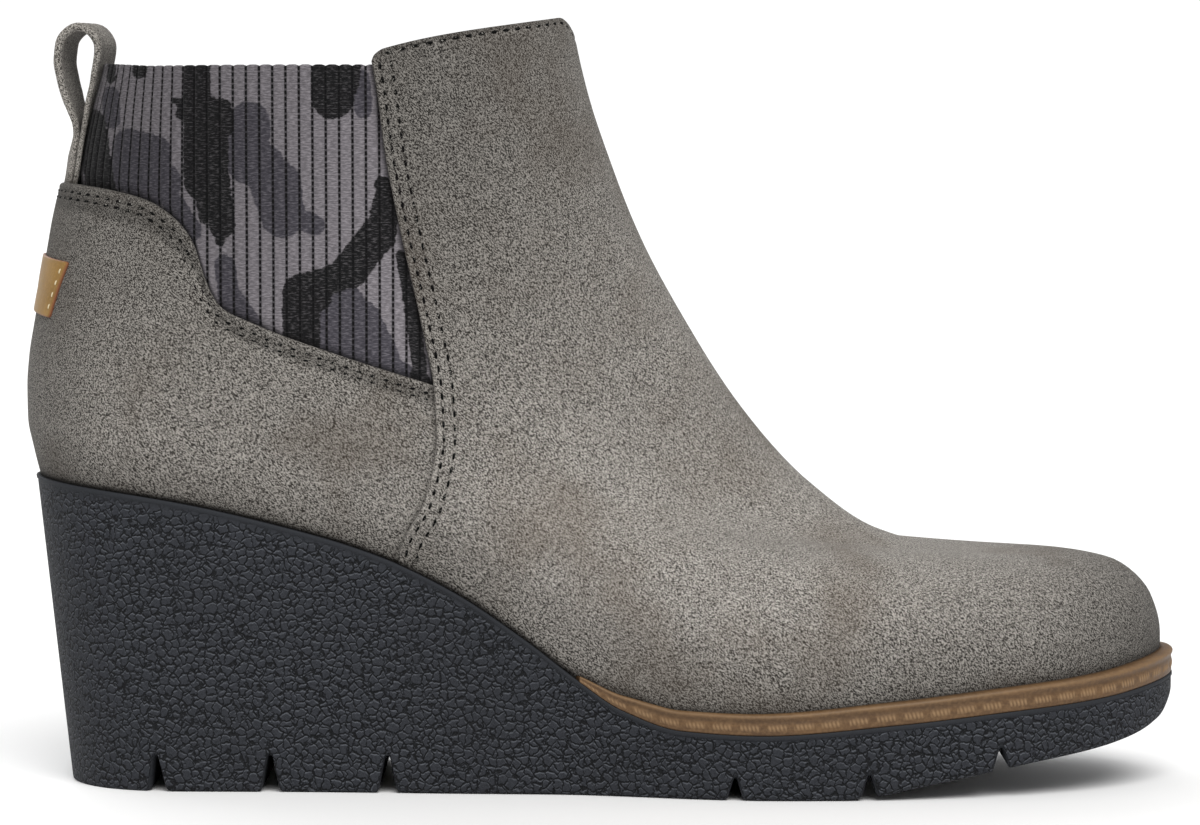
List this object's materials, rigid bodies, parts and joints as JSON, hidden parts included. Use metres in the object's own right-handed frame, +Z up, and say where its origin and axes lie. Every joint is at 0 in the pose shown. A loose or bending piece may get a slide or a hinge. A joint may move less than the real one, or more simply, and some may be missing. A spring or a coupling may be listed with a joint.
{
  "type": "wedge ankle boot",
  "caption": "Right-foot suede ankle boot with a wraparound elastic gore, a heel pull loop, a tan welt and a closed wedge sole.",
  "frame": {"origin": "centre of the bounding box in plan, on the floor", "axes": "+X heel to toe, +Y toward the medial side, +Z up"},
  "size_m": [0.2538, 0.0862, 0.1677],
  "materials": {
    "suede": "matt napped microsuede, warm grey",
    "elastic": "ribbed elastic with a grey camouflage weave",
    "tab_leather": "smooth tan leather, bare",
    "welt_rubber": "moulded tan rubber with stitch ridges",
    "sole_rubber": "pebbled charcoal rubber",
    "insole_fabric": "dark knitted sock lining"
  },
  "bodies": {
    "root": {"upper": "suede", "elastic_gore": "elastic", "pull_loop": "suede", "heel_tab": "tab_leather", "welt": "welt_rubber", "wedge_sole": "sole_rubber", "insole": "insole_fabric"}
  },
  "joints": []
}
